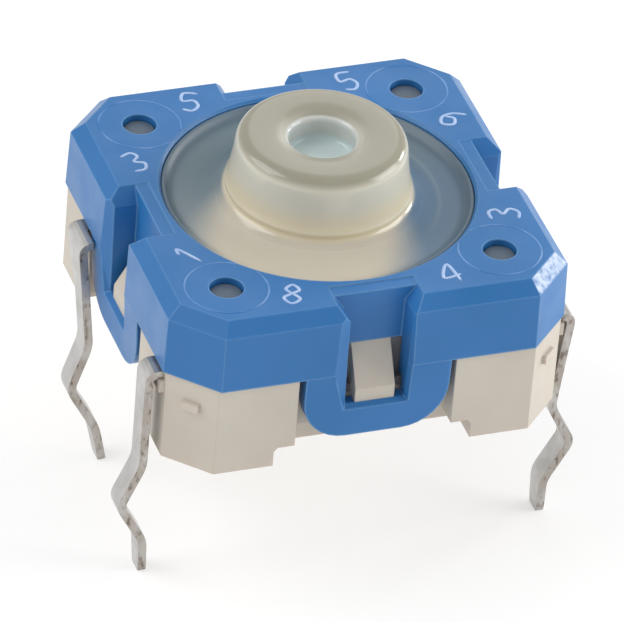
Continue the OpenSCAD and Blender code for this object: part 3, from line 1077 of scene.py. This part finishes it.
@dataclass
class CoverMarks:
    """Scribed rings round the corner holes and plain numerals beside them.

    Attributes:
        offset: Distance of each hole from both centre planes, mm.
        ring: Radius of the scribed rings, mm.
        ring_points: Points on a whole ring, its first place counted twice.
        shortest: Points that a piece of ring has more than.
        side_limit: Largest |x| and |y| of a ring, mm.
        corner_limit: Largest |x| + |y| of a ring, mm.
        opening_limit: Least distance of a ring from the centre, mm.
        ring_height: Rise of a ring above the face, mm.
        ring_width: Width of its line, mm.
        top: Height of the cover's top face, mm.
        numerals: The numerals.
        scale: Size of the numerals against their strokes.
        numeral_height: Rise of a numeral above the face, mm.
        numeral_width: Width of its line, mm.
    """

    offset: float = 4.14
    ring: float = 1.21
    ring_points: int = 120
    shortest: int = 4
    side_limit: float = 5.62
    corner_limit: float = 10.15
    opening_limit: float = 4.68
    ring_height: float = 0.008
    ring_width: float = 0.06
    top: float = 5.2
    numerals: tuple[Numeral, ...] = (
        Numeral("1", (-4.72, -2.45), 35),
        Numeral("8", (-2.4, -4.85), -20),
        Numeral("4", (2.35, -4.95), 10),
        Numeral("3", (4.85, -2.5), 80),
        Numeral("5", (2.55, 4.9), 5),
        Numeral("6", (4.98, 2.42), -60),
        Numeral("5", (-2.35, 4.9), -15),
        Numeral("3", (-4.85, 2.35), 15),
    )
    scale: float = 1.3
    numeral_height: float = 0.014
    numeral_width: float = 0.105

    def build(self) -> None:
        """Makes the marks as low ridges on the top face."""
        clear, faint = SCRIBE.material(), FAINT_SCRIBE.material()
        for i, corner in enumerate([(-1, -1), (1, -1), (1, 1), (-1, 1)]):
            for k, run in enumerate(self._ring_runs(np.array(corner) * self.offset)):
                rings = ridge_along(run, self.ring_height, self.ring_width, self.top)
                self._mark(f"scribed_ring_{i}_{k}", rings, faint)
        for i, numeral in enumerate(self.numerals):
            stroke = numeral.stroke(self.scale)
            rings = ridge_along(stroke, self.numeral_height, self.numeral_width, self.top)
            self._mark(f"numeral_{i}", rings, clear)

    def _ring_runs(self, centre: Grid) -> list[Grid]:
        """Cuts a ring into the pieces that lie on the flat of the top face.

        Args:
            centre: Centre of the ring, mm.

        Returns:
            The pieces, each an array of points of shape (n, 2), mm.
        """
        t = np.linspace(0.0, 2 * np.pi, self.ring_points)
        circle = centre + self.ring * np.stack([np.cos(t), np.sin(t)], axis=1)
        inside = np.abs(circle).max(axis=1) < self.side_limit
        inside &= np.abs(circle).sum(axis=1) < self.corner_limit
        inside &= np.hypot(*circle.T) > self.opening_limit
        start = int(np.argmax(~inside))
        ordered = np.roll(circle[:-1], -start, axis=0)
        kept = np.roll(inside[:-1], -start)
        breaks = np.flatnonzero(np.diff(kept.astype(int))) + 1
        runs = np.split(np.arange(len(kept)), breaks)
        return [ordered[run] for run in runs if kept[run[0]] and len(run) > self.shortest]

    def _mark(self, name: str, rings: Grid, material: bpy.types.Material) -> None:
        """Makes one mark.

        Args:
            name: Name of the piece.
            rings: Points of its ridge, mm.
            material: Its material.
        """
        piece = link_object(name, shell_mesh(name, rings * MM))
        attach(piece, Body.HOUSING.value)
        piece.data.materials.append(material)
        report(piece)


@dataclass
class SealingCap:
    """Silicone button, membrane and flange, one moulding of revolution.

    Attributes:
        outer: Outer profile from the hole's floor to the flange, (r, z) in mm.
        inner: Inner profile from the flange back to the axis.
        per_span: Points on each span of the profile.
        segments: Points round the axis.
        clamped: Height up to which it stays with the housing, mm; not used.
        moving: Height from which it moves with the button, mm; not used.
        colours: Its colours, painted light and shade included.
        places: The places where they come in.
    """

    outer: Profile = (
        (0.0, 6.22), (0.5, 6.22), (0.86, 6.23), (0.95, 6.27), (0.97, 6.36), (0.97, 6.7),
        (0.975, 6.84), (1.03, 6.93), (1.16, 6.985), (1.35, 7.03), (1.6, 7.062), (1.85, 7.075),
        (2.08, 7.075), (2.24, 7.05), (2.37, 6.985), (2.46, 6.88), (2.505, 6.76), (2.525, 6.62),
        (2.56, 6.3), (2.61, 5.95), (2.66, 5.68), (2.70, 5.53), (2.735, 5.43), (2.73, 5.36),
        (2.715, 5.31), (2.712, 5.27), (2.735, 5.22), (2.82, 5.14), (3.02, 5.04), (3.25, 4.95),
        (3.5, 4.895), (3.7, 4.872), (3.9, 4.866), (4.08, 4.872), (4.22, 4.9), (4.34, 4.97),
        (4.42, 5.05), (4.47, 5.095), (4.53, 5.095), (4.56, 5.07), (4.56, 5.0), (4.53, 4.85),
        (4.52, 4.6), (4.52, 4.0), (4.52, 3.6), (4.52, 3.43), (4.55, 3.4), (4.65, 3.4),
        (4.9, 3.4), (4.98, 3.38), (5.0, 3.3),
    )
    inner: Profile = (
        (5.0, 3.1), (4.98, 3.02), (4.9, 3.0), (4.4, 3.0), (4.15, 3.0), (4.1, 3.05), (4.1, 3.6),
        (4.1, 4.0), (4.05, 4.3), (3.95, 4.48), (3.8, 4.55), (3.5, 4.56), (3.2, 4.56),
        (2.6, 4.58), (2.15, 4.7), (1.75, 4.68), (1.68, 4.75), (1.68, 5.0), (1.68, 5.5),
        (1.64, 5.58), (1.5, 5.58), (0.6, 5.58), (0.0, 5.58),
    )
    per_span: int = 4
    segments: int = 180
    clamped: float = 3.4
    moving: float = 4.9
    colours: CapColours = CapColours()
    places: CapPlaces = CapPlaces()

    def build(self) -> None:
        """Makes the moulding."""
        profile = smooth_profile(self.outer + self.inner, self.per_span)
        mesh = shell_mesh("silicone_cap", revolve(profile, self.segments) * MM)
        self._paint(mesh)
        piece = link_object("silicone_cap", mesh)
        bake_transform(piece)
        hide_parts("sealing_cap")
        mesh.materials.append(SILICONE.material())
        report(piece)

    def _paint(self, mesh: bpy.types.Mesh) -> None:
        """Paints the mesh's colour attribute.

        Args:
            mesh: Mesh of the moulding, metres.
        """
        flat = np.empty(3 * len(mesh.vertices))
        mesh.vertices.foreach_get("co", flat)
        painted = CapPainter(flat.reshape(-1, 3) / MM, self.colours, self.places).paint()
        layer = mesh.color_attributes.new(SILICONE.layer, "FLOAT_COLOR", "POINT")
        layer.data.foreach_set("color", painted.ravel())


@dataclass
class SnapDisc:
    """Domed spring.

    Attributes:
        radius: Radius of the rim, mm.
        rise: Rise of the dome, mm.
        thickness: Thickness of the sheet, mm.
        low: Height of the rim's lower face, mm.
        bend_height: Height over which the motion passes to the button, mm; not used.
        points: Points from the axis to the rim.
        segments: Points round the axis.
    """

    radius: float = 2.9
    rise: float = 0.4
    thickness: float = 0.08
    low: float = 2.87
    bend_height: float = 0.35
    points: int = 24
    segments: int = 96

    def build(self) -> None:
        """Revolves a thin spherical cap.

        With R = (radius^2 + rise^2) / (2 rise), its lower face is
        z = low + rise - R + sqrt(R^2 - r^2), and the upper face lies the
        thickness above it.
        """
        sphere = (self.radius**2 + self.rise**2) / (2 * self.rise)
        r = np.linspace(0.0, self.radius, self.points)
        z = self.low + self.rise - sphere + np.sqrt(sphere**2 - r**2)
        upper = np.stack([r, z + self.thickness], axis=1)
        lower = np.stack([r, z], axis=1)[::-1]
        rings = revolve(np.vstack([upper, lower]), self.segments)
        piece = link_object("snap_dome", shell_mesh("snap_dome", rings * MM))
        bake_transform(piece)
        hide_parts("snap_disc")
        piece.data.materials.append(STEEL.material())
        report(piece)


# --------------------------------------------------------------------------
# Studio
# --------------------------------------------------------------------------


@dataclass(frozen=True)
class Lamp:
    """One square soft lamp that looks at the switch.

    Attributes:
        name: Name of the lamp.
        place: Its place, mm.
        size: Its side, mm.
        power: Its power, watts.
        aim: Height on the axis that it looks at, mm.
    """

    name: str
    place: Triple
    size: float
    power: float
    aim: float = 3

    def build(self) -> None:
        """Makes the lamp and turns it to the switch."""
        data = bpy.data.lights.new(self.name, "AREA")
        data.size = self.size * MM
        data.energy = self.power
        lamp = link_object(self.name, data)
        at = Vector(self.place) * MM
        look = Vector((0, 0, self.aim * MM)) - at
        turn = look.to_track_quat("-Z", "Y").to_matrix().to_4x4()
        lamp.matrix_world = Matrix.Translation(at) @ turn
        LOG.info("lamp %s: %g W", self.name, self.power)


@dataclass(frozen=True)
class Viewpoint:
    """The camera.

    Attributes:
        azimuth: Turn about Z from a view along +Y, degrees.
        elevation: Height above the horizon, degrees.
        roll: Roll about the line of sight, degrees.
        distance: Distance from the target, mm.
        target: Point that the camera looks at, mm.
        focal: Focal length in pixels of the frame's width.
        frame_width: Width of the frame, pixels.
        sensor: Width of the sensor, mm.
        clip: Nearest and farthest distance that it sees, metres.
    """

    azimuth: float = 21.404
    elevation: float = 36.191
    roll: float = 4.993
    distance: float = 230.889
    target: Triple = (-1.012, -2.955, 3.0)
    focal: float = 8000.1
    frame_width: float = 624.0
    sensor: float = 36.0
    clip: Span = (0.01, 10.0)

    def build(self) -> None:
        """Makes the scene's camera.

        It stands at the target plus the distance times the direction
        (-sin a cos e, -cos a cos e, sin e), upright, then turned by the roll.
        """
        a, e, r = (math.radians(v) for v in (self.azimuth, self.elevation, self.roll))
        back = Vector((-math.sin(a) * math.cos(e), -math.cos(a) * math.cos(e), math.sin(e)))
        right = (-back).cross(Vector((0, 0, 1))).normalized()
        up = right.cross(-back)
        rolled_right = right * math.cos(r) + up * math.sin(r)
        rolled_up = -right * math.sin(r) + up * math.cos(r)
        data = bpy.data.cameras.new("camera")
        data.sensor_fit = "HORIZONTAL"
        data.sensor_width = self.sensor
        data.lens = self.sensor * self.focal / self.frame_width
        data.clip_start, data.clip_end = self.clip
        camera = link_object("camera", data)
        place = (Vector(self.target) + back * self.distance) * MM
        turn = Matrix((rolled_right, rolled_up, back)).transposed().to_4x4()
        camera.matrix_world = Matrix.Translation(place) @ turn
        bpy.context.scene.camera = camera
        LOG.info("camera: lens %.1f mm", data.lens)


@dataclass
class Studio:
    """Floor, soft light and camera.

    Attributes:
        floor_z: Height of the floor, mm.
        floor_half: Half the floor's side, metres.
        floor_colour: Colour of the floor.
        floor_roughness: Roughness of the floor.
        floor_glow: Strength of the floor's own light.
        sky: Strength of the white surroundings.
        lamps: The lamps.
        view: The camera.
    """

    floor_z: float = -4.43
    floor_half: float = 0.4
    floor_colour: Colour = (0.55, 0.55, 0.55)
    floor_roughness: float = 0.9
    floor_glow: float = 0.47
    sky: float = 0.62
    lamps: tuple[Lamp, ...] = (
        Lamp("key", (-90, 30, 90), 90, 0.07),
        Lamp("rim", (110, -30, 45), 80, 0.075),
        Lamp("strip", (100, 30, 24), 24, 0.02),
        Lamp("sheen", (19, 42, 34), 26, 0.002),
    )
    view: Viewpoint = Viewpoint()

    def build(self) -> None:
        """Makes the floor, the surroundings, the lamps and the camera."""
        self._floor()
        self._surroundings()
        for lamp in self.lamps:
            lamp.build()
        self.view.build()
        bpy.context.scene.view_settings.view_transform = "Standard"

    def _floor(self) -> None:
        """Makes the pale floor, which glows a little so that it renders white."""
        s, z = self.floor_half, self.floor_z * MM
        corners = [(-s, -s, z), (s, -s, z), (s, s, z), (-s, s, z)]
        mesh = bpy.data.meshes.new("floor")
        mesh.from_pydata(corners, [], [(0, 1, 2, 3)])
        floor = link_object("floor", mesh)
        n = Nodes("pale_floor")
        n.shader.inputs["Base Color"].default_value = (*self.floor_colour, 1)
        n.shader.inputs["Roughness"].default_value = self.floor_roughness
        n.shader.inputs["Emission Color"].default_value = (1.0, 1.0, 1.0, 1)
        n.shader.inputs["Emission Strength"].default_value = self.floor_glow
        mesh.materials.append(n.material)
        report(floor)

    def _surroundings(self) -> None:
        """Makes the white surroundings."""
        world = bpy.data.worlds.new("soft_surroundings")
        bpy.context.scene.world = world
        world.use_nodes = True
        background = world.node_tree.nodes["Background"]
        background.inputs["Color"].default_value = (1.0, 1.0, 1.0, 1)
        background.inputs["Strength"].default_value = self.sky


def main() -> None:
    """Builds the pieces in order, then the studio."""
    logging.basicConfig(level=logging.INFO)
    for part in (Housing(), CoverMarks(), SealingCap(), SnapDisc(), Studio()):
        part.build()


if __name__ == "__main__":
    main()
